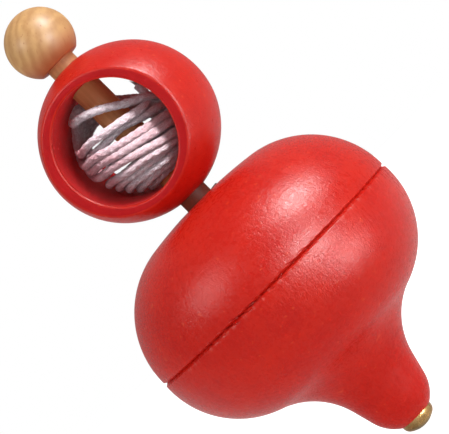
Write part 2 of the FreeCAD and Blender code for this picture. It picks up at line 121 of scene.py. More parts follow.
ball_low, ball_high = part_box("handle_ball")
ball_centre = (Vector(ball_low) + Vector(ball_high)) / 2

# front, left and right height, right, front, left and back distance, three heights at the back
TURNS = [
    (1.9, 3.6, 0.2, 8.4, 8.4, 9.8, 4.8, 9.3, 8.5, 3.4),
    (5.8, 8.7, 0.9, 9.0, 7.3, 6.6, 4.2, 10.1, 8.1, 3.6),
    (1.0, 1.5, -1.2, 8.7, 7.2, 9.4, 8.3, 0.2, -1.5, -2.4),
    (-2.0, 1.2, -3.6, 9.4, 9.3, 10.8, 5.0, 8.7, 6.9, 1.6),
    (-3.0, 0.1, -4.7, 9.2, 9.4, 10.8, 6.0, 8.0, 7.5, 2.6),
    (-4.3, -1.9, -5.9, 8.4, 6.6, 10.0, 8.6, 5.7, 5.9, -1.0),
    (-5.3, -1.6, -6.8, 8.4, 9.2, 10.8, 7.4, 7.1, 6.6, 0.4),
    (-6.4, -4.4, -8.0, 7.4, 8.8, 9.9, 8.4, -4.4, -5.4, -6.6),
    (-7.4, -6.0, -8.3, 6.9, 7.2, 9.1, 8.0, -6.2, -6.8, -7.6),
    (-8.4, -7.4, -9.3, 6.6, 6.8, 8.1, 7.0, -7.7, -8.3, -8.9),
    (-9.4, -8.8, -10.1, 5.6, 5.9, 6.4, 5.6, -9.1, -9.5, -9.8),
    (-10.4, -10.1, -10.4, 4.6, 4.8, 4.9, 4.4, -10.0, -9.7, -9.5),
]
END_TURN = math.radians(27)
END_DISTANCE = 7.96
END_HEIGHTS = (4.9, 4.0, 3.1, 2.2)
SLANT = 0.72


def turn_keys(row):
    """Eight (distance, height) pairs of one turn, from its right side round the front."""
    front, left, right, far_right, far_front, far_left, far_back, *behind = row
    heights = [right, front + SLANT * (right - front), front, front + SLANT * (left - front), left]
    distances = [
        far_right, (far_right + far_front) / 2, far_front, (far_front + far_left) / 2,
        far_left, (far_left + far_back) / 2, far_back, (far_back + far_right) / 2,
    ]
    return list(zip(distances, heights + behind))


def catmull_rom(before, start, end, after, share):
    """A smooth curve from start to end that looks one key ahead and one behind."""
    bend = 2 * before - 5 * start + 4 * end - after
    twist = 3 * (start - end) + after - before
    return start + 0.5 * share * (end - before + share * (bend + share * twist))


keys = np.array([pair for row in TURNS for pair in turn_keys(row)])
coil = []
for index in range(1, len(keys) - 2):
    for step in range(POINTS_PER_KEY):
        share = step / POINTS_PER_KEY
        distance, height = catmull_rom(*keys[index - 1:index + 3], share)
        turned = (index + share) * math.tau / KEYS_PER_TURN
        coil.append((distance * math.cos(turned), distance * math.sin(turned), height))
free_end = [
    (END_DISTANCE * math.cos(END_TURN), END_DISTANCE * math.sin(END_TURN), height)
    for height in END_HEIGHTS
]
route = np.array(free_end + coil)
along = np.arange(len(coil))
sway = sum(height * np.sin(along * pace + start) for height, pace, start in SWAYS)
route[len(free_end):, 2] += sway * np.minimum(1, along / POINTS_BEFORE_SWAY)
print("turns:", len(TURNS), "points on the cord:", len(route))

# %% [markdown]
# ## Room between the turns
# Turns listed in a table run through each other somewhere. A rope simulation could settle them,
# but it is slow and hard to steer into a given winding. So points that lie closer than the cord is
# thick are moved apart a little, sixty times over, while the whole winding stays inside the bore.

# %% push the turns apart
PUSH_ROUNDS = 60
NEIGHBOURS = 5
CLEARANCE = 1.5
PUSH_SHARE = 0.22
SMOOTHING = 0.015
FIXED = len(free_end)


def keep_in_bore(points):
    """Points between the spindle's surface and the round space that the cord fills."""
    height = np.clip(points[:, 2], -WINDING_HALF_HEIGHT, WINDING_HALF_HEIGHT)
    reach = np.sqrt(WINDING_RADIUS ** 2 - height ** 2)
    distance = np.hypot(points[:, 0], points[:, 1])
    wanted = np.clip(distance, CORE_RADIUS, np.maximum(reach, CORE_RADIUS))
    held = points.copy()
    held[:, :2] *= (wanted / distance)[:, None]
    held[:, 2] = height
    return held


order = np.arange(len(route))
far_along = np.abs(order[:, None] - order[None, :]) > NEIGHBOURS
for _ in range(PUSH_ROUNDS):
    apart = route[:, None, :] - route[None, :, :]
    gap = np.linalg.norm(apart, axis=2) + np.eye(len(route))
    short = np.where(far_along, np.maximum(CLEARANCE - gap, 0), 0)
    shift = (apart / gap[:, :, None] * short[:, :, None]).sum(axis=1) * PUSH_SHARE
    shift[1:-1] = (shift[:-2] + 2 * shift[1:-1] + shift[2:]) / 4
    shift[:FIXED] = 0
    route = keep_in_bore(route + shift)
    middle = (route[:-2] + route[2:]) / 2
    route[FIXED:-1] += SMOOTHING * (middle[FIXED - 1:] - route[FIXED:-1])
print("closest turns:", round(float(gap[far_along].min()), 2), "mm")

# %% [markdown]
# ## The cord as a braided tube
# A curve with a round bevel would be the quick way, but a cotton cord is not smooth: eight yarns
# cross over each other along it. So the spline only gives the centre line, and rings of points
# follow it, each ring pressed in where two yarns cross. Every ring carries its own length along
# the cord and its angle as texture coordinates, which the fibres in the material follow.

# %% cord tube
BRAID_PITCH = mm(1.7)
BRAID_DEPTH = 0.14
YARNS_EACH_WAY = 4
BRAID_LEVEL = 0.35
# the cord's uneven thickness along its length: how much, radians per metre, where it starts
THICKNESS = 1.02
UNEVENNESS = [(0.03, 830, 0), (0.02, 2170, 1)]
RING_POINTS = 20
LINE_STEPS = 10


def world_point(point):
    """A point of the winding, in millimetres round the ball's centre, in the frame."""
    return ball_centre + side * mm(point[0]) + toward * mm(point[1]) + up * mm(point[2])


def centre_line(points):
    """The points that a smooth NURBS spline through the given control points passes."""
    curve = bpy.data.curves.new("cord_line", "CURVE")
    curve.dimensions = "3D"
    spline = curve.splines.new("NURBS")
    spline.points.add(len(points) - 1)
    for control, point in zip(spline.points, points):
        control.co = (*point, 1)
    spline.order_u = 3
    spline.use_endpoint_u = True
    spline.resolution_u = LINE_STEPS
    holder = bpy.data.objects.new("cord_line", curve)
    mesh = bpy.data.meshes.new_from_object(holder)
    line = np.array([list(vertex.co) for vertex in mesh.vertices])
    bpy.data.objects.remove(holder)
    bpy.data.meshes.remove(mesh)
    return line


def ring_frames(line):
    """Two steady directions across the line at every point, without twist."""
    along = np.gradient(line, axis=0)
    along /= np.linalg.norm(along, axis=1)[:, None]
    across = np.cross(along[0], (0, 0, 1.0))
    if np.linalg.norm(across) < 0.1:
        across = np.cross(along[0], (1.0, 0, 0))
    first = []
    for direction in along:
        across = across - direction * across.dot(direction)
        across /= np.linalg.norm(across)
        first.append(across)
    first = np.array(first)
    return first, np.cross(along, first)


def tube(name, line, radius_at, ring_points):
    """A closed tube along a line; radius_at(length, angles) gives each ring's radii."""
    first, second = ring_frames(line)
    lengths = np.r_[0, np.cumsum(np.linalg.norm(np.diff(line, axis=0), axis=1))]
    angles = np.arange(ring_points) * math.tau / ring_points
    spokes = first[:, None] * np.cos(angles)[:, None] + second[:, None] * np.sin(angles)[:, None]
    radii = np.array([radius_at(length, angles) for length in lengths])
    rings = line[:, None] + spokes * radii[:, :, None]
    points = np.vstack([rings.reshape(-1, 3), line[:1], line[-1:]])
    count = len(line)
    faces = []
    for ring in range(count - 1):
        for spoke in range(ring_points):
            following = (spoke + 1) % ring_points
            low = ring * ring_points
            high = low + ring_points
            faces.append((low + spoke, low + following, high + following, high + spoke))
    last = (count - 1) * ring_points
    for spoke in range(ring_points):
        following = (spoke + 1) % ring_points
        faces.append((following, spoke, count * ring_points))
        faces.append((last + spoke, last + following, count * ring_points + 1))
    mesh = bpy.data.meshes.new(name)
    mesh.from_pydata(points.tolist(), [], faces)
    layer = mesh.uv_layers.new(name="along")
    for face in mesh.polygons:
        corners = [mesh.loops[index].vertex_index for index in face.loop_indices]
        turns = [corner % ring_points / ring_points for corner in corners]
        wraps = max(turns) - min(turns) > 0.5
        for index, corner, turned in zip(face.loop_indices, corners, turns):
            ring = min(corner // ring_points, count - 1)
            layer.data[index].uv = (lengths[ring] * 1000, turned + (wraps and turned < 0.5))
    mesh.shade_smooth()
    mesh.update()
    piece = bpy.data.objects.new(name, mesh)
    bpy.context.scene.collection.objects.link(piece)
    return piece


def braid_radius(length, angles):
    """Radius round the cord where yarns cross in both directions."""
    wave = math.tau * length / BRAID_PITCH
    over = np.cos(YARNS_EACH_WAY * angles + wave)
    under = np.cos(YARNS_EACH_WAY * angles - wave)
    relief = np.maximum(over, under) - BRAID_LEVEL
    wander = sum(much * math.sin(length * pace + start) for much, pace, start in UNEVENNESS)
    return CORD_DIAMETER / 2 * (THICKNESS + wander + BRAID_DEPTH * relief)


cord_line = centre_line([world_point(point) for point in route])
cord = tube("cotton_cord", cord_line, braid_radius, RING_POINTS)
cord_length = float(np.linalg.norm(np.diff(cord_line, axis=0), axis=1).sum())
print("cord:", round(cord_length, 3), "m,", len(cord.data.polygons), "faces")
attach(cord, "cord")
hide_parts("cord_coil", "cord_end")

# %% [markdown]
# ## The frayed cut end
# The free end was cut and has opened into a small brush. Each wisp is a thin tapered tube that
# leaves the end of the cord and leans its own way, and every third is short and leans right.

# %% frayed end
WISPS = 22
WISP_POINTS = 9
WISP_SIDES = 6
WISP_RADIUS = mm(0.17)
SHORTEST_WISP, WISP_SPREAD = mm(0.9), mm(1.1)
WISP_LEAN, SIDE_LEAN = mm(0.9), mm(1.1)
WISP_ROOT = mm(0.7)
chance = np.random.default_rng(7)


def wisp_points(index):
    """A short line that starts inside the cord's end and leans away from it."""
    start = np.array(world_point(route[0]))
    reach = SHORTEST_WISP + WISP_SPREAD * chance.random()
    lean = WISP_LEAN * (chance.random() - 0.5) * np.array(side)
    lean += WISP_LEAN * (chance.random() - 0.5) * np.array(toward)
    if index % 3 == 0:
        lean += SIDE_LEAN * np.array(side)
        reach *= 0.45
    steps = np.linspace(0, 1, WISP_POINTS)[:, None]
    root = start - np.array(up) * WISP_ROOT + lean * 0.35
    return root + np.array(up) * (reach + WISP_ROOT) * steps + lean * steps ** 2


def joined(name, parts):
    """One piece made of several meshes, with the parts removed."""
    merged = bmesh.new()
    for part in parts:
        merged.from_mesh(part.data)
        mesh = part.data
        bpy.data.objects.remove(part)
        bpy.data.meshes.remove(mesh)
    mesh = bpy.data.meshes.new(name)
    merged.to_mesh(mesh)
    merged.free()
    mesh.shade_smooth()
    piece = bpy.data.objects.new(name, mesh)
    bpy.context.scene.collection.objects.link(piece)
    return piece


def wisp_radius(reach):
    """A radius that tapers to a hair along the wisp's own length."""
    return lambda length, angles: np.full(len(angles), WISP_RADIUS * (1.12 - length / reach))


wisps = []
for index in range(WISPS):
    line = wisp_points(index)
    reach = float(np.linalg.norm(np.diff(line, axis=0), axis=1).sum())
    wisps.append(tube(f"wisp_{index}", line, wisp_radius(reach), WISP_SIDES))
fray = joined("frayed_end", wisps)
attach(fray, "cord")
print("wisps:", WISPS)

# %% [markdown]
# ## Floor and light
# The studio is white all round. The floor and the world look plain white to the camera, and they
# light the top more weakly than they look, so that the soft boxes can shape it: a wide key and a
# weaker fill on the left. Four more boxes give only their glint on the lacquer, so that the
# highlights stay small while the light stays soft, and a snoot lights the cord in the bore.

# %% floor and world
FLOOR_SIZE = 3.0
SURROUND_LIGHT = 0.49
MIRRORED_SURROUND = 0.40
FLOOR_GLOW = 0.27


def add(tree, kind, inputs=None, **settings):
    """A new node with its settings and input values."""
    made = tree.nodes.new(kind)
    for name, value in settings.items():
        setattr(made, name, value)
    for name, value in (inputs or {}).items():
        if isinstance(value, bpy.types.NodeSocket):
            tree.links.new(value, made.inputs[name])
        else:
            made.inputs[name].default_value = value
    return made


floor_mesh = bpy.data.meshes.new("floor")
half = FLOOR_SIZE / 2
floor_mesh.from_pydata(
    [(-half, -half, 0), (half, -half, 0), (half, half, 0), (-half, half, 0)], [], [(0, 1, 2, 3)]
)
floor = bpy.data.objects.new("floor", floor_mesh)
bpy.context.scene.collection.objects.link(floor)

floor_paint = bpy.data.materials.new("pale_floor")
floor_paint.use_nodes = True
tree = floor_paint.node_tree
shader = tree.nodes["Principled BSDF"]
shader.inputs["Base Color"].default_value = (0.5, 0.5, 0.5, 1)
shader.inputs["Roughness"].default_value = 0.9
shader.inputs["Emission Color"].default_value = (1, 1, 1, 1)
rays = add(tree, "ShaderNodeLightPath")
glow = add(tree, "ShaderNodeMapRange", {
    "Value": rays.outputs["Is Camera Ray"], "To Min": FLOOR_GLOW, "To Max": 1.0,
})
tree.links.new(glow.outputs["Result"], shader.inputs["Emission Strength"])
floor_mesh.materials.append(floor_paint)

world = bpy.data.worlds.new("studio")
world.use_nodes = True
bpy.context.scene.world = world
tree = world.node_tree
tree.nodes.clear()
rays = add(tree, "ShaderNodeLightPath")
seen = add(tree, "ShaderNodeBackground", {"Color": (1, 1, 1, 1), "Strength": 1.0})
mirrored = add(tree, "ShaderNodeMapRange", {
    "Value": rays.outputs["Is Glossy Ray"], "To Min": SURROUND_LIGHT, "To Max": MIRRORED_SURROUND,
})
lit = add(tree, "ShaderNodeBackground", {
    "Color": (1, 1, 1, 1), "Strength": mirrored.outputs["Result"],
})
mixed = add(tree, "ShaderNodeMixShader", {0: rays.outputs["Is Camera Ray"]})
tree.links.new(lit.outputs[0], mixed.inputs[1])
tree.links.new(seen.outputs[0], mixed.inputs[2])
output = add(tree, "ShaderNodeOutputWorld")
tree.links.new(mixed.outputs[0], output.inputs["Surface"])
bpy.context.scene.view_settings.view_transform = "Standard"
print("floor:", FLOOR_SIZE, "m square")

# %% soft boxes
# name, direction as (side, toward, up), distance, size, power, whether it only shows as a glint
SOFT_BOXES = [
    ("key", (0.69, 0.36, 0.62), 0.50, 0.26, 1.62, False),
    ("key_glint", (0.69, 0.38, 0.60), 0.50, 0.14, 7.5, True),
    ("left_fill", (-0.62, 0.53, 0.58), 0.50, 0.20, 0.35, False),
    ("left_glint", (-0.62, 0.53, 0.58), 0.50, 0.14, 1.6, True),
    ("low_right_glint", (0.60, 0.62, -0.46), 0.085, 0.030, 0.080, True),
    ("foot_glint", (0.54, 0.82, 0.0), 0.30, 0.08, 2.0, True),
]
LIT_POINT = up * mm(45)
SNOOT = ("bore_snoot", (0.60, 0.62, 0.50), 0.40, 0.07, 4.3, False)


def soft_box(target, name, direction, distance, size, power, only_glint):
    """A round soft light at its distance from a point, turned to face it."""
    data = bpy.data.lights.new(name, "AREA")
    data.shape = "DISK"
    data.size = size
    data.energy = power
    lamp = bpy.data.objects.new(name, data)
    away = (side * direction[0] + toward * direction[1] + up * direction[2]).normalized()
    lamp.location = target + away * distance
    lamp.rotation_mode = "QUATERNION"
    lamp.rotation_quaternion = away.to_track_quat("Z", "Y")
    lamp.visible_camera = False
    lamp.visible_diffuse = not only_glint
    bpy.context.scene.collection.objects.link(lamp)
    return lamp


for box in SOFT_BOXES:
    soft_box(LIT_POINT, *box)

# a lamp that only the cord receives, as a narrow snoot aimed into the bore would give
cord_only = bpy.data.collections.new("cord_only")
for piece in (cord, fray):
    cord_only.objects.link(piece)
snoot = soft_box(ball_centre, *SNOOT)
snoot.light_linking.receiver_collection = cord_only
print("soft boxes:", len(SOFT_BOXES), "and a snoot for the bore")

# %% [markdown]
# ## Shared effects
# Three effects are shared by several finishes, so each is a node group with named sockets:
# cloudy mottling, wood grain with growth rings and fibres, and the fine bumps that dust leaves
# under a coat. They work on object coordinates scaled to millimetres, so a number such as
# 0.12 means "one change in about eight millimetres".

# %% node groups
def new_group(name, inputs, outputs):
    """An empty shader group with value or vector sockets."""
    group = bpy.data.node_groups.new(name, "ShaderNodeTree")
    for label, kind, value in inputs:
        socket = group.interface.new_socket(label, in_out="INPUT", socket_type=kind)
        if value is not None:
            socket.default_value = value
    for label, kind in outputs:
        group.interface.new_socket(label, in_out="OUTPUT", socket_type=kind)
    return group, add(group, "NodeGroupInput"), add(group, "NodeGroupOutput")


FLOAT, VECTOR = "NodeSocketFloat", "NodeSocketVector"

clouds, given, result = new_group(
    "clouds",
    [("Vector", VECTOR, None), ("Scale", FLOAT, 0.12), ("Contrast", FLOAT, 1.0)],
    [("Mask", FLOAT)],
)
wide = add(clouds, "ShaderNodeTexNoise", {
    "Vector": given.outputs["Vector"], "Scale": given.outputs["Scale"],
    "Detail": 5.0, "Roughness": 0.6, "Distortion": 0.6,
})
centred = add(clouds, "ShaderNodeMath", {0: wide.outputs["Fac"], 1: 0.5}, operation="SUBTRACT")
spread = add(clouds, "ShaderNodeMath", {
    0: centred.outputs[0], 1: given.outputs["Contrast"], 2: 0.5,
}, operation="MULTIPLY_ADD", use_clamp=True)
clouds.links.new(spread.outputs[0], result.inputs["Mask"])

dust, given, result = new_group(
    "dust_bumps",
    [("Vector", VECTOR, None), ("Scale", FLOAT, 1.2), ("Rarity", FLOAT, 0.72)],
    [("Mask", FLOAT)],
)
specks = add(dust, "ShaderNodeTexNoise", {
    "Vector": given.outputs["Vector"], "Scale": given.outputs["Scale"],
    "Detail": 1.0, "Roughness": 0.4,
})
limit = add(dust, "ShaderNodeMath", {0: given.outputs["Rarity"], 1: 0.08}, operation="ADD")
picked = add(dust, "ShaderNodeMapRange", {
    "Value": specks.outputs["Fac"], "From Min": given.outputs["Rarity"],
    "From Max": limit.outputs[0],
}, interpolation_type="SMOOTHSTEP")
dust.links.new(picked.outputs["Result"], result.inputs["Mask"])

grain, given, result = new_group(
    "wood_grain",
    [
        ("Vector", VECTOR, None), ("Ring Scale", FLOAT, 0.5), ("Fibre Scale", FLOAT, 3.0),
        ("Wander", FLOAT, 1.5),
    ],
    [("Rings", FLOAT), ("Fibres", FLOAT), ("Pores", FLOAT)],
)
rings = add(grain, "ShaderNodeTexWave", {
    "Vector": given.outputs["Vector"], "Scale": given.outputs["Ring Scale"],
    "Distortion": given.outputs["Wander"], "Detail": 3.0, "Detail Scale": 0.7,
    "Detail Roughness": 0.6,
}, wave_type="RINGS", rings_direction="X", wave_profile="SIN")
stretched = add(grain, "ShaderNodeVectorMath", {
    0: given.outputs["Vector"], 1: (0.08, 1.0, 1.0),
}, operation="MULTIPLY")
fibres = add(grain, "ShaderNodeTexNoise", {
    "Vector": stretched.outputs[0], "Scale": given.outputs["Fibre Scale"],
    "Detail": 4.0, "Roughness": 0.65,
})
long_pores = add(grain, "ShaderNodeVectorMath", {
    0: given.outputs["Vector"], 1: (0.12, 2.4, 2.4),
}, operation="MULTIPLY")
pores = add(grain, "ShaderNodeTexNoise", {
    "Vector": long_pores.outputs[0], "Scale": given.outputs["Fibre Scale"], "Detail": 1.0,
})
pore_mask = add(grain, "ShaderNodeMapRange", {
    "Value": pores.outputs["Fac"], "From Min": 0.68, "From Max": 0.80,
})
grain.links.new(rings.outputs["Fac"], result.inputs["Rings"])
grain.links.new(fibres.outputs["Fac"], result.inputs["Fibres"])
grain.links.new(pore_mask.outputs["Result"], result.inputs["Pores"])
print("groups:", [group.name for group in bpy.data.node_groups])


# %% [markdown]
# ## The red lacquer
# The ball and both halves of the body are turned wood with a thin satin lacquer over red stain.
# The colour is not even: the stain took a little more in some patches, faint lines from the
# turning tool run round it, and dust left tiny bumps. Two shades of red mixed by soft clouds,
# with rings and streaks at low strength, give that without painting any light into the colour.

# %% red lacquer
def new_finish(name, tint):
    """A material with a Principled shader, and object coordinates in millimetres."""
    finish = bpy.data.materials.new(name)
    finish.use_nodes = True
    finish.diffuse_color = (*tint, 1)
    tree = finish.node_tree
    place = add(tree, "ShaderNodeTexCoord")
    scaled = add(tree, "ShaderNodeMapping", {"Vector": place.outputs["Object"]})
    scaled.inputs["Scale"].default_value = (1000, 1000, 1000)
    return finish, tree, tree.nodes["Principled BSDF"], scaled.outputs["Vector"]


def stretched_place(tree, place, by):
    """Coordinates squeezed or spread along each axis."""
    return add(tree, "ShaderNodeVectorMath", {0: place, 1: by}, operation="MULTIPLY").outputs[0]


def use_group(tree, group, inputs):
    """One placed copy of a group with its own values."""
    placed = add(tree, "ShaderNodeGroup", node_tree=group)
    for name, value in inputs.items():
        if isinstance(value, bpy.types.NodeSocket):
            tree.links.new(value, placed.inputs[name])
        else:
            placed.inputs[name].default_value = value
    return placed


def mix_colours(tree, mask, first, second, blend="MIX"):
    """A colour between two, by a mask."""
    mixed = add(tree, "ShaderNodeMix", data_type="RGBA", blend_type=blend)
    for socket, value in ((0, mask), (6, first), (7, second)):
        if isinstance(value, bpy.types.NodeSocket):
            tree.links.new(value, mixed.inputs[socket])
        else:
            mixed.inputs[socket].default_value = value
    return mixed.outputs[2]


def scaled_sum(tree, terms, start=0.0):
    """A number made of several masks, each with its own weight."""
    total = start
    for mask, weight in terms:
        weighed = {0: mask, 1: weight, 2: total}
        total = add(tree, "ShaderNodeMath", weighed, operation="MULTIPLY_ADD").outputs[0]
    return total


def raise_surface(tree, shader, height, depth):
    """A bump in metres that feeds the shader's normal."""
    bump = add(tree, "ShaderNodeBump", {"Height": height, "Distance": depth, "Strength": 1.0})
    tree.links.new(bump.outputs["Normal"], shader.inputs["Normal"])
    return bump


def red_lacquer(name, bright, deep, shift, values):
    """Lacquer over red stain, for one group of turned faces."""
    finish, tree, shader, place = new_finish(name, bright[:3])
    moved = add(tree, "ShaderNodeVectorMath", {0: place, 1: shift}, operation="ADD").outputs[0]
    patches = use_group(tree, clouds, {"Vector": moved, "Scale": 0.13, "Contrast": 2.2})
    freckles = use_group(tree, clouds, {"Vector": moved, "Scale": 1.0, "Contrast": 2.2})
    bumps = use_group(tree, dust, {"Vector": moved, "Scale": 0.9, "Rarity": 0.70})
    upright = stretched_place(tree, moved, (1.0, 1.0, 0.10))
    streaks = use_group(tree, clouds, {"Vector": upright, "Scale": 1.5, "Contrast": 2.2})
    level = stretched_place(tree, moved, (0.05, 0.05, 1.0))
    turning = use_group(tree, clouds, {"Vector": level, "Scale": 2.4, "Contrast": 1.8})
    peel = use_group(tree, clouds, {"Vector": moved, "Scale": 2.8, "Contrast": 2.0})
    height_of = add(tree, "ShaderNodeSeparateXYZ", {"Vector": place})
    off_lip = add(tree, "ShaderNodeMath", {
        0: height_of.outputs["Z"], 1: values["lip"],
    }, operation="SUBTRACT")
    off_lip = add(tree, "ShaderNodeMath", {0: off_lip.outputs[0]}, operation="ABSOLUTE")
    near_lip = add(tree, "ShaderNodeMapRange", {
        "Value": off_lip.outputs[0], "From Min": 0.55, "From Max": 0.10, "To Max": 0.4,
    })
    flecks = add(tree, "ShaderNodeMapRange", {
        "Value": streaks.outputs[0], "From Min": 0.58, "From Max": 0.9,
    })
    seam_lip_flecks = add(tree, "ShaderNodeMath", {
        0: near_lip.outputs["Result"], 1: flecks.outputs["Result"],
    }, operation="MULTIPLY")
    shade = scaled_sum(tree, [
        (patches.outputs[0], 0.50), (freckles.outputs[0], 0.24), (streaks.outputs[0], 0.22),
        (turning.outputs[0], 0.16),
    ], -0.06)
    colour = mix_colours(tree, shade, deep, bright)
    speck = (bright[0], bright[1] * 2.2, bright[2] * 2.4, 1)
    colour = mix_colours(tree, bumps.outputs[0], colour, speck)
    # pale pink flecks along the seam's lip
    colour = mix_colours(tree, seam_lip_flecks.outputs[0], colour, PALE_FLECK_RED)
    tree.links.new(colour, shader.inputs["Base Color"])
    gloss = scaled_sum(tree, [
        (freckles.outputs[0], 0.16), (patches.outputs[0], 0.05), (streaks.outputs[0], 0.06),
    ], values["roughness"])
    tree.links.new(gloss, shader.inputs["Roughness"])
    height = scaled_sum(tree, [
        (peel.outputs[0], 0.6), (bumps.outputs[0], 0.15), (streaks.outputs[0], 0.55),
        (turning.outputs[0], 0.4), (freckles.outputs[0], 0.35),
    ])
    raise_surface(tree, shader, height, values["relief"])
    shader.inputs["Specular IOR Level"].default_value = values["specular"]
    return finish


BRIGHT_RED = (0.72, 0.021, 0.007, 1)
DEEP_RED = (0.54, 0.008, 0.006, 1)
BORE_RED = (0.86, 0.020, 0.020, 1)
BORE_DEEP = (0.62, 0.008, 0.011, 1)
LAND_RED = (0.64, 0.010, 0.012, 1)
LAND_DEEP = (0.46, 0.005, 0.008, 1)
PALE_FLECK_RED = (0.86, 0.30, 0.26, 1)
SEAM_LIP = 39.05  # close to the height of the seam, in millimetres
NO_LIP = -50.0  # a height that no piece reaches
satin = {"roughness": 0.15, "relief": mm(0.052), "specular": 0.15, "lip": SEAM_LIP}
smooth = {"roughness": 0.20, "relief": mm(0.050), "specular": 0.15, "lip": NO_LIP}
flat = {"roughness": 0.30, "relief": mm(0.055), "specular": 0.07, "lip": NO_LIP}
bare = {"roughness": 0.62, "relief": mm(0.09), "specular": 0.12, "lip": NO_LIP}
body_red = red_lacquer("red_lacquer_body", BRIGHT_RED, DEEP_RED, (3.0, 7.0, 1.0), satin)
ball_red = red_lacquer("red_lacquer_ball", BRIGHT_RED, DEEP_RED, (31.0, 2.0, 9.0), smooth)
bore_red = red_lacquer("red_stain_in_the_bore", BORE_RED, BORE_DEEP, (11.0, 4.0, 17.0), bare)
land_red = red_lacquer("red_lacquer_on_the_flats", LAND_RED, LAND_DEEP, (5.0, 14.0, 7.0), flat)
print("red finishes:", body_red.name, ball_red.name, bore_red.name, land_red.name)

# %% [markdown]
# ## The pale woods and the brass
# The knob is pale close-grained wood under a clear varnish, a little redder round the hole where
# the spindle goes in, from stain and from painted red reflection of the ball. The spindle is a
# plain dowel: its grain runs along it, so the same group is used with its long direction turned
# upward, and below the ball it is painted dark, as painted shade and painted red reflection in
# the gap between the body and the ball. The brass nail is metal, partly tarnished, with fine
# scratches.

# %% knob and spindle wood
def wood(name, light, dark, pore_stain_and_painted_light, values):
    """Wood with growth rings, fibres and short dark pores."""
    finish, tree, shader, place = new_finish(name, light[:3])
    turned = add(tree, "ShaderNodeMapping", {"Vector": place})
    turned.inputs["Rotation"].default_value = values["lie"]
    turned.inputs["Location"].default_value = values["shift"]
    figure = use_group(tree, grain, {
        "Vector": turned.outputs["Vector"], "Ring Scale": values["rings"],
        "Fibre Scale": values["fibres"], "Wander": values["wander"],
    })
    patches = use_group(tree, clouds, {"Vector": place, "Scale": 0.28, "Contrast": 1.7})
    shade = scaled_sum(tree, [
        (figure.outputs["Rings"], values["ring_weight"]), (figure.outputs["Fibres"], 0.55),
        (patches.outputs[0], 0.3),
    ], -0.12)
    colour = mix_colours(tree, shade, light, dark)
    colour = mix_colours(tree, figure.outputs["Pores"], colour, pore_stain_and_painted_light)
    # a band by height in the pores' colour: on the knob stain with painted red reflection of the
    # ball, on the spindle painted shade with painted red reflection in the gap below the ball
    height_of = add(tree, "ShaderNodeSeparateXYZ", {"Vector": place})
    stain_and_painted_light = add(tree, "ShaderNodeMapRange", {
        "Value": height_of.outputs["Z"], "From Min": values["stain_and_painted_light"][0],
        "From Max": values["stain_and_painted_light"][1], "To Min": values["stain_and_painted_light"][2], "To Max": 0.0,
    }, interpolation_type="SMOOTHSTEP")
    colour = mix_colours(tree, stain_and_painted_light.outputs["Result"], colour, pore_stain_and_painted_light)
    tree.links.new(colour, shader.inputs["Base Color"])
    gloss = scaled_sum(tree, [
        (figure.outputs["Fibres"], 0.15), (figure.outputs["Pores"], 0.2),
    ], values["roughness"])
    tree.links.new(gloss, shader.inputs["Roughness"])
    height = scaled_sum(tree, [(figure.outputs["Fibres"], 0.6), (figure.outputs["Pores"], -0.5)])
    raise_surface(tree, shader, height, mm(0.02))
    shader.inputs["Coat Weight"].default_value = values["coat"]
    shader.inputs["Coat Roughness"].default_value = 0.28
    shader.inputs["Specular IOR Level"].default_value = values["specular"]
    return finish


# each wood's light and dark colour, and the colour of its pores and of its band of stain and
# painted light
KNOB_COLOURS = (0.78, 0.46, 0.185, 1), (0.50, 0.22, 0.07, 1), (0.44, 0.12, 0.04, 1)
DOWEL_COLOURS = (0.68, 0.32, 0.135, 1), (0.46, 0.18, 0.065, 1), (0.21, 0.032, 0.014, 1)
# the band of stain and painted light: the height where its colour starts to fade, where it ends,
# and its strength. On the knob it is stain with painted red reflection of the ball, on the spindle
# painted shade with painted red reflection below the ball
knob_wood = wood("knob_wood", *KNOB_COLOURS, {
    "lie": (0.3, 0.9, 0.5), "shift": (4.0, -9.0, 3.0), "rings": 0.15, "fibres": 1.2,
    "wander": 9.0, "ring_weight": 0.38, "stain_and_painted_light": (95.7, 100.4, 0.85), "roughness": 0.40,
    "coat": 0.02, "specular": 0.26,
})
spindle_wood = wood("spindle_wood", *DOWEL_COLOURS, {
    "lie": (0.0, math.pi / 2, 0.0), "shift": (0.0, 2.0, 5.0), "rings": 0.3, "fibres": 2.2,
    "wander": 1.0, "ring_weight": 0.2, "stain_and_painted_light": (61.0, 63.0, 0.95), "roughness": 0.55,
    "coat": 0.0, "specular": 0.12,
})

# %% brass
TARNISHED, CLEAN_BRASS = (0.22, 0.135, 0.045, 1), (0.50, 0.34, 0.14, 1)
brass, tree, shader, place = new_finish("brass_nail", (0.62, 0.42, 0.16))
tarnish = use_group(tree, clouds, {"Vector": place, "Scale": 0.55, "Contrast": 2.0})
scratch_lines = stretched_place(tree, place, (6.0, 0.6, 1.2))
scratches = use_group(tree, clouds, {"Vector": scratch_lines, "Scale": 1.4, "Contrast": 2.5})
tree.links.new(
    mix_colours(tree, tarnish.outputs[0], TARNISHED, CLEAN_BRASS),
    shader.inputs["Base Color"],
)
shader.inputs["Metallic"].default_value = 1.0
tree.links.new(
    scaled_sum(tree, [(tarnish.outputs[0], 0.12), (scratches.outputs[0], 0.14)], 0.14),
    shader.inputs["Roughness"],
)
raise_surface(tree, shader, scratches.outputs[0], mm(0.012))
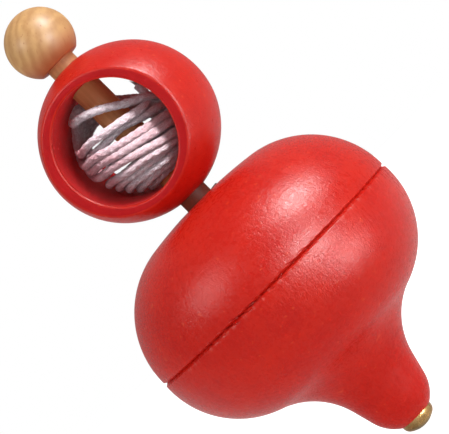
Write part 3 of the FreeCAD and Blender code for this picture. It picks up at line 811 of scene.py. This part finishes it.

# %% [markdown]
# ## The cotton
# The cord looks like undyed cotton that has gone a little grey; its pink tint is painted red
# reflection of the bore. Some of its turns are a dark rose of painted shade and painted red light
# bounced from the bore. A picture of a rope wrapped round the tube would look flat at this size.
# Fibres drawn along the tube's own texture coordinates follow every bend, and a rose mask of
# painted shade and painted red bounce grows towards the wall of the bore and towards the left.

# %% cotton
# painted shade with painted red light bounced from the bore
PAINTED_ROSE_SHADE = (0.55, 0.07, 0.10, 1)
# two tones of thread mixed by fibre noise; their pink tint is painted red reflection of the bore
SHADED_THREAD, LIT_THREAD = (0.58, 0.40, 0.46, 1), (0.94, 0.88, 0.92, 1)
cotton, tree, shader, place = new_finish("cotton_cord", (0.8, 0.66, 0.68))
along = add(tree, "ShaderNodeTexCoord")
stretched = add(tree, "ShaderNodeMapping", {"Vector": along.outputs["UV"]})
stretched.inputs["Scale"].default_value = (0.9, 14.0, 1.0)
stretched.inputs["Rotation"].default_value = (0, 0, 0.16)
fibres = add(tree, "ShaderNodeTexNoise", {
    "Vector": stretched.outputs["Vector"], "Scale": 1.6, "Detail": 4.0, "Roughness": 0.7,
    "Distortion": 0.8,
})
soiling_and_painted_shade = use_group(tree, clouds, {"Vector": place, "Scale": 0.35, "Contrast": 1.8})
nap = use_group(tree, clouds, {"Vector": place, "Scale": 4.2, "Contrast": 2.6})
strands = add(tree, "ShaderNodeMapRange", {
    "Value": fibres.outputs["Fac"], "From Min": 0.41, "From Max": 0.59,
})
shade = scaled_sum(tree, [
    (strands.outputs["Result"], 0.60), (soiling_and_painted_shade.outputs[0], 0.15), (nap.outputs[0], 0.60),
], -0.12)
thread = mix_colours(tree, shade, SHADED_THREAD, LIT_THREAD)
around = stretched_place(tree, place, (1.0, 1.0, 0.0))
from_axis = add(tree, "ShaderNodeVectorMath", {0: around}, operation="LENGTH")
# painted shade and painted red bounce: rose on the turns near the bore's wall and on the left
painted_rose_shade = add(tree, "ShaderNodeMapRange", {
    "Value": from_axis.outputs["Value"], "From Min": 8.6, "From Max": 11.0, "To Max": 0.9,
})
leftward = add(tree, "ShaderNodeVectorMath", {0: place, 1: tuple(-side)}, operation="DOT_PRODUCT")
painted_shade_on_the_left = add(tree, "ShaderNodeMapRange", {
    "Value": leftward.outputs["Value"], "From Min": 6.0, "From Max": 9.0, "To Max": 1.0,
})
painted_rose_shade = add(tree, "ShaderNodeMath", {
    0: painted_rose_shade.outputs["Result"], 1: painted_shade_on_the_left.outputs["Result"],
}, operation="MAXIMUM")
blotches = scaled_sum(tree, [(soiling_and_painted_shade.outputs[0], 0.65)], 0.3)
painted_rose_shade = add(tree, "ShaderNodeMath", {0: painted_rose_shade.outputs[0], 1: blotches}, operation="MULTIPLY")
colour = mix_colours(tree, painted_rose_shade.outputs[0], thread, PAINTED_ROSE_SHADE)
tree.links.new(colour, shader.inputs["Base Color"])
shader.inputs["Roughness"].default_value = 0.85
shader.inputs["Sheen Weight"].default_value = 0.10
# the sheen's pink tint is painted red reflection of the bore
shader.inputs["Sheen Tint"].default_value = (1.0, 0.66, 0.72, 1.0)
shader.inputs["Sheen Roughness"].default_value = 0.4
shader.inputs["Specular IOR Level"].default_value = 0.1
height = scaled_sum(tree, [(strands.outputs["Result"], 0.7), (nap.outputs[0], 0.7)])
raise_surface(tree, shader, height, mm(0.26))
for piece in (cord, fray):
    piece.data.materials.append(cotton)
print("finishes:", [finish.name for finish in bpy.data.materials])


# %% [markdown]
# ## The hollow ball
# The ball is an oval turned about the spindle, with two flats and a wide bore across it. Cut out
# of a ball with booleans its edges would stay knife sharp, and the light on a lacquered edge is
# what makes it look real. So it is swept instead: one closed section, with every corner softened,
# goes round the bore's own axis, and its outer side follows the oval at each angle.

# %% hollow ball
ball_reach = (ball_high[0] - ball_low[0]) / 2
ball_pole = mm(16.7)  # to the oval's pole, which the hole for the spindle cuts away
flat_reach = (ball_high[1] - ball_low[1]) / 2
BELOW_RIM = mm(0.5)
BORE_RADIUS = mm(12.0)
HOLE_RADIUS = mm(3.1)
CUT_HEIGHTS = mm(50, 110)
CREASE = 28  # in degrees: a sharper edge is not shaded smooth
SWEEP_STEPS = 320
BORE_STEPS, OUTER_STEPS = 15, 52
MOUTH_SOFTNESS = mm(0.62)
RIM_SOFTNESS = mm(0.5)
# how far inside the flats the outer side's rows start, and where the bore's finish ends
OUTER_MARGIN, BORE_MARGIN = mm(0.6), mm(0.7)
BORE_TOLERANCE, FLAT_TOLERANCE = mm(0.05), mm(0.02)
# the slow and the quick unevenness of the outer side, as shares of its distance
WAVER, RIPPLE = 0.0012, 0.0008


def outer_distance(turned, across):
    """Distance of the oval's surface from the bore's axis."""
    room = 1 - (across / ball_reach) ** 2
    pull = (math.sin(turned) / ball_reach) ** 2 + (math.cos(turned) / ball_pole) ** 2
    return math.sqrt(room / pull)


def softened(corner, before, after, softness, steps=5):
    """Points of a small curve in place of a sharp corner."""
    start = corner + (before - corner).normalized() * softness
    end = corner + (after - corner).normalized() * softness
    for step in range(steps + 1):
        share = step / steps
        yield start * (1 - share) ** 2 + corner * 2 * share * (1 - share) + end * share ** 2


def ball_section(turned):
    """The closed section at one angle round the bore, as (distance, across) pairs."""
    rim = outer_distance(turned, flat_reach)
    mouth_front = Vector((BORE_RADIUS, -flat_reach))
    mouth_back = Vector((BORE_RADIUS, flat_reach))
    rim_front = Vector((rim, -flat_reach))
    rim_back = Vector((rim, flat_reach))
    slope = outer_distance(turned, flat_reach - BELOW_RIM)
    outside_back = Vector((slope, flat_reach - BELOW_RIM))
    outside_front = Vector((slope, -flat_reach + BELOW_RIM))
    loop = list(softened(mouth_front, rim_front, mouth_back, MOUTH_SOFTNESS))
    loop += [mouth_front.lerp(mouth_back, share) for share in np.linspace(0.08, 0.92, BORE_STEPS)]
    loop += softened(mouth_back, mouth_front, rim_back, MOUTH_SOFTNESS)
    loop += [mouth_back.lerp(rim_back, share) for share in (0.4, 0.6)]
    loop += softened(rim_back, mouth_back, outside_back, RIM_SOFTNESS)
    outer_reach = flat_reach - OUTER_MARGIN
    for across in np.linspace(outer_reach, -outer_reach, OUTER_STEPS):
        loop.append(Vector((outer_distance(turned, across), across)))
    loop += softened(rim_front, outside_front, mouth_front, RIM_SOFTNESS)
    loop += [rim_front.lerp(mouth_front, share) for share in (0.4, 0.6)]
    return loop


def swept_ring(name, section_at, steps, place_point):
    """A closed ring of quads from a section at each step."""
    sections = [section_at(math.tau * step / steps) for step in range(steps)]
    size = len(sections[0])
    points = []
    for step, section in enumerate(sections):
        points += [place_point(math.tau * step / steps, point) for point in section]
    faces = []
    for step in range(steps):
        for index in range(size):
            following = (index + 1) % size
            low, high = step * size, (step + 1) % steps * size
            faces.append((low + index, high + index, high + following, low + following))
    mesh = bpy.data.meshes.new(name)
    mesh.from_pydata(points, [], faces)
    piece = bpy.data.objects.new(name, mesh)
    bpy.context.scene.collection.objects.link(piece)
    return piece


def round_the_bore(turned, point):
    """A section point at its place round the bore's axis, with a slight hand-finished waver."""
    distance, across = point
    if distance > BORE_RADIUS * 1.02:
        ripple = RIPPLE * math.sin(7 * turned + 90 * across)
        distance *= 1 + WAVER * math.sin(3 * turned + 1) + ripple
    return (
        ball_centre.x + distance * math.sin(turned), ball_centre.y + across,
        ball_centre.z + distance * math.cos(turned),
    )


def dowel_cutter(radius, low, high, steps=120):
    """A plain round cutter along the spindle."""
    mesh = bpy.data.meshes.new("cutter")
    cutter = bmesh.new()
    bmesh.ops.create_cone(
        cutter, cap_ends=True, segments=steps, radius1=radius, radius2=radius, depth=high - low,
    )
    bmesh.ops.translate(cutter, verts=cutter.verts, vec=(0, 0, (low + high) / 2))
    cutter.to_mesh(mesh)
    cutter.free()
    tool = bpy.data.objects.new("cutter", mesh)
    bpy.context.scene.collection.objects.link(tool)
    return tool


def cut_away(piece, tool):
    """Takes the tool out of the piece, and removes the tool."""
    change = piece.modifiers.new("cut", "BOOLEAN")
    change.operation = "DIFFERENCE"
    change.solver = "EXACT"
    change.object = tool
    bpy.context.view_layer.update()
    depsgraph = bpy.context.evaluated_depsgraph_get()
    cut = bpy.data.meshes.new_from_object(piece.evaluated_get(depsgraph))
    piece.modifiers.clear()
    old = piece.data
    piece.data = cut
    cut.name = piece.name
    bpy.data.meshes.remove(old)
    bpy.data.objects.remove(tool)


def smooth_by_angle(piece, degrees):
    """Smooth faces, with edges sharper than the angle kept crisp."""
    mesh = piece.data
    mesh.shade_smooth()
    shaped = bmesh.new()
    shaped.from_mesh(mesh)
    bmesh.ops.recalc_face_normals(shaped, faces=shaped.faces)
    for edge in shaped.edges:
        edge.smooth = len(edge.link_faces) == 2 and edge.calc_face_angle(0) < math.radians(degrees)
    shaped.to_mesh(mesh)
    shaped.free()


ball = swept_ring("hollow_ball", ball_section, SWEEP_STEPS, round_the_bore)
cut_away(ball, dowel_cutter(HOLE_RADIUS, *CUT_HEIGHTS))
smooth_by_angle(ball, CREASE)
ball.data.materials.clear()
for finish in (ball_red, bore_red, land_red):
    ball.data.materials.append(finish)
for face in ball.data.polygons:
    middle = face.center - ball_centre
    near_wall = math.hypot(middle.x, middle.z) < BORE_RADIUS + BORE_TOLERANCE
    in_bore = near_wall and abs(middle.y) < flat_reach - BORE_MARGIN
    on_flat = abs(middle.y) > flat_reach - FLAT_TOLERANCE
    face.material_index = 1 if in_bore else 2 if on_flat else 0
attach(ball, "handle")
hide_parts("handle_ball")
print("ball:", len(ball.data.polygons), "faces")


# %% [markdown]
# ## The two halves of the body
# Both halves are turned, so a lathe gives them: the outline is read from the CAD piece and goes
# round the axis in fine steps. The lacquer does not fill the seam between them. Its two lips are
# uneven and a little chipped, most on the side that lies lower left, so the points near the seam
# are pushed in by a noise that follows the angle round the axis.

# %% lathe
LATHE_STEPS = 540
LATHE_CREASE = 32
ROW_BY_SEAM, ROW_ELSEWHERE = mm(0.14), mm(0.6)
SEAM_REACH = mm(0.75)
# the seam's lip: how far it is always pulled in, how deep a chip is, how far chips lean
LIP_PULL, CHIP_DEPTH = mm(0.02), mm(0.16)
LIP_SLANT = 0.09 / SEAM_REACH
CHIPPED_AT = math.radians(190)
CHIPPED_SPREAD = 0.35
# noises round the axis, as waves: how much, how many times round, where it starts
RAGGED_WAVES = [(0.5, 61, 1.3), (0.5, 103, 4.0), (0.45, 157, 0.4)]
PATCHY_WAVES = [(0.5, 7, 0.5), (0.5, 17, 2.1)]


def outline(node):
    """The outermost (distance, height) pairs of a turned CAD piece, from bottom to top."""
    spots = {}
    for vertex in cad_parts[node].data.vertices:
        key = round(vertex.co.z, 6)
        spots[key] = max(spots.get(key, 0.0), math.hypot(vertex.co.x, vertex.co.y))
    return [(distance, height) for height, distance in sorted(spots.items())]


def finer(points, seam, near, far):
    """More points on an outline: straight and close near the seam, a smooth curve elsewhere."""
    fine = []
    for index in range(len(points) - 1):
        start, end = np.array(points[index]), np.array(points[index + 1])
        long = float(np.linalg.norm(end - start))
        by_seam = min(abs(start[1] - seam), abs(end[1] - seam)) < SEAM_REACH
        steps = max(1, math.ceil(long / (near if by_seam else far)))
        before = np.array(points[max(index - 1, 0)])
        after = np.array(points[min(index + 2, len(points) - 1)])
        for step in range(steps):
            share = step / steps
            straight = start + (end - start) * share
            fine.append(straight if by_seam else catmull_rom(before, start, end, after, share))
    return fine + [np.array(points[-1])]


def chipped(turned):
    """How far the seam's lip is pushed in at an angle, in metres, most at its chipped side."""
    ragged, patchy = (
        sum(much * math.sin(times * turned + start) for much, times, start in waves)
        for waves in (RAGGED_WAVES, PATCHY_WAVES)
    )
    off_side = (turned - CHIPPED_AT + math.pi) % math.tau - math.pi
    chipped_side = math.exp(-off_side ** 2 / CHIPPED_SPREAD)
    deep = max(0.0, ragged) * (0.35 + 0.65 * max(0.0, patchy) + 1.9 * chipped_side)
    return LIP_PULL + CHIP_DEPTH * deep


def turned_piece(name, node, inside, seam, finish):
    """A lathe-turned piece in place of a CAD piece, with a ragged lip at the seam's height."""
    points = [point for point in outline(node) if point[0] > inside]
    rows = finer(points, seam, ROW_BY_SEAM, ROW_ELSEWHERE)
    corners, faces = [], []
    for distance, height in rows:
        pull = max(0.0, 1 - abs(height - seam) / SEAM_REACH) ** 0.7
        for step in range(LATHE_STEPS):
            turned = math.tau * step / LATHE_STEPS
            held = distance - (pull * chipped(turned + LIP_SLANT * height) if pull else 0.0)
            corners.append((held * math.cos(turned), held * math.sin(turned), height))
    for row in range(len(rows) - 1):
        for step in range(LATHE_STEPS):
            low, high = row * LATHE_STEPS, (row + 1) * LATHE_STEPS
            following = (step + 1) % LATHE_STEPS
            faces.append((low + step, low + following, high + following, high + step))
    for row in (0, len(rows) - 1):
        middle = len(corners)
        corners.append((0, 0, rows[row][1]))
        for step in range(LATHE_STEPS):
            edge = (row * LATHE_STEPS + step, row * LATHE_STEPS + (step + 1) % LATHE_STEPS)
            faces.append((*edge[::-1], middle) if row == 0 else (*edge, middle))
    mesh = bpy.data.meshes.new(name)
    mesh.from_pydata(corners, [], faces)
    mesh.materials.append(finish)
    piece = bpy.data.objects.new(name, mesh)
    bpy.context.scene.collection.objects.link(piece)
    smooth_by_angle(piece, LATHE_CREASE)
    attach(piece, "top")
    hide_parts(node)
    print(name, "from", len(points), "outline points:", len(mesh.polygons), "faces")
    return piece


seam_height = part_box("body_lower")[1][2]
# the last number leaves out all that lies inside it, the wall of the nail's or spindle's hole
for name, node, inside in (
    ("body_lower_half", "body_lower", mm(3.4)), ("body_upper_half", "body_upper", mm(3.05)),
):
    turned_piece(name, node, inside, seam_height, body_red)

# %% [markdown]
# ## The glue at the lower neck
# Where the spindle enters the crown a little brown glue was squeezed out on one side. It is a
# short thin thread of glue that lies partly sunk in the crown beside the dowel, tapers at both
# ends, and is low enough to pass under the ball when the top slides up. Its near-black colour is
# partly painted shade of the narrow gap under the ball.

# %% glue bead
BEAD_TURN = math.radians(38)
BEAD_STEPS = 40
BEAD_DISTANCE, BEAD_BOW = mm(4.25), mm(0.12)
BEAD_MIDDLE = mm(4.3)
BEAD_SUNK = mm(0.03)
BEAD_THIN, BEAD_SWELL = mm(0.04), mm(0.16)
BEAD_SIDES = 16
# glue colours darkened to near black with painted shade of the gap under the ball
THICK_GLUE_AND_SHADE, THIN_GLUE_AND_SHADE = (0.035, 0.005, 0.005, 1), (0.10, 0.015, 0.012, 1)
crown_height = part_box("body_upper")[1][2]
view_side = math.atan2(side.y, side.x)
bead_line = []
for turned in np.linspace(-BEAD_TURN, BEAD_TURN, BEAD_STEPS):
    direction = view_side + turned + 0.1
    distance = BEAD_DISTANCE + BEAD_BOW * math.cos(turned * 4.0)
    bead_line.append((
        distance * math.cos(direction), distance * math.sin(direction),
        crown_height - BEAD_SUNK,
    ))
bead_long = BEAD_TURN * 2 * BEAD_MIDDLE


def bead_radius(length, angles):
    """Thick in the middle, and uneven, as squeezed glue is."""
    share = min(max(length / bead_long, 0.02), 0.98)
    swell = math.sin(math.pi * share) ** 0.8
    uneven = 1 + 0.10 * np.sin(2 * angles + 7 * share) + 0.06 * math.sin(23 * share)
    return (BEAD_THIN + BEAD_SWELL * swell) * uneven


bead = tube("glue_bead", np.array(bead_line), bead_radius, BEAD_SIDES)
glue, tree, shader, place = new_finish("brown_glue_and_painted_shade", (0.06, 0.01, 0.008))
swirl = use_group(tree, clouds, {"Vector": place, "Scale": 1.4, "Contrast": 1.6})
colour = mix_colours(tree, swirl.outputs[0], THICK_GLUE_AND_SHADE, THIN_GLUE_AND_SHADE)
tree.links.new(colour, shader.inputs["Base Color"])
tree.links.new(scaled_sum(tree, [(swirl.outputs[0], 0.2)], 0.55), shader.inputs["Roughness"])
raise_surface(tree, shader, swirl.outputs[0], mm(0.03))
bead.data.materials.append(glue)
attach(bead, "top")
print("glue bead:", len(bead.data.polygons), "faces")

# %% [markdown]
# ## The pieces that keep their CAD mesh
# The spindle, the knob and the nail are plain turned shapes, and the CAD meshes already show them
# well. They only get their finishes.

# %% materials of the remaining CAD pieces
for node, finish in (("spindle", spindle_wood), ("knob", knob_wood), ("tip_nail", brass)):
    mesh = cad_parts[node].data
    mesh.materials.clear()
    mesh.materials.append(finish)
    print(node, "has", finish.name)
